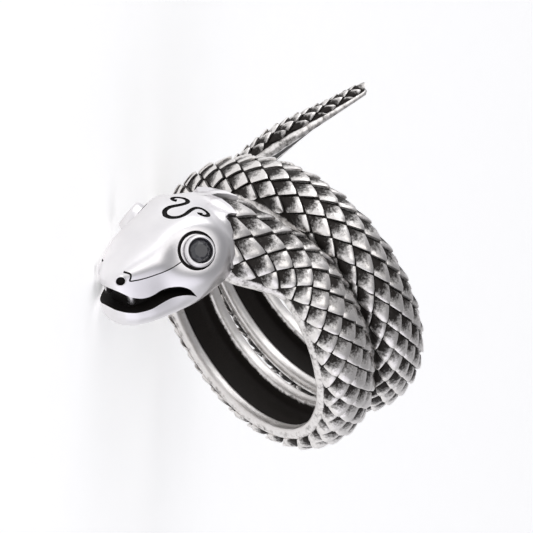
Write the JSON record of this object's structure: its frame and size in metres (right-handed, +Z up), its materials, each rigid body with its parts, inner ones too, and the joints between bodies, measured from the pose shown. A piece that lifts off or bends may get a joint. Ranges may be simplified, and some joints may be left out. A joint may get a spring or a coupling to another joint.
{
  "type": "snake wrap ring",
  "caption": "Finger ring cast as a snake wound twice round the finger, with raised scales, an open-mouthed head set with round eye stones, and a tapering tail.",
  "frame": {"origin": "middle of the ring's footprint, on the surface that it lies on", "axes": "+Z up from the surface; the ring lies on its snout and the front edge of its first turn, so the finger's line leans 54 degrees from upright; -Y is the side that the picture looks from"},
  "size_m": [0.0293, 0.0334, 0.0227],
  "materials": {
    "silver": "polished sterling silver, oxidised black in the recesses",
    "stone": "faceted smoky grey stone"
  },
  "bodies": {
    "root": {"snake_ring": "silver", "eye_stone_left": "stone", "eye_stone_right": "stone"}
  },
  "joints": []
}
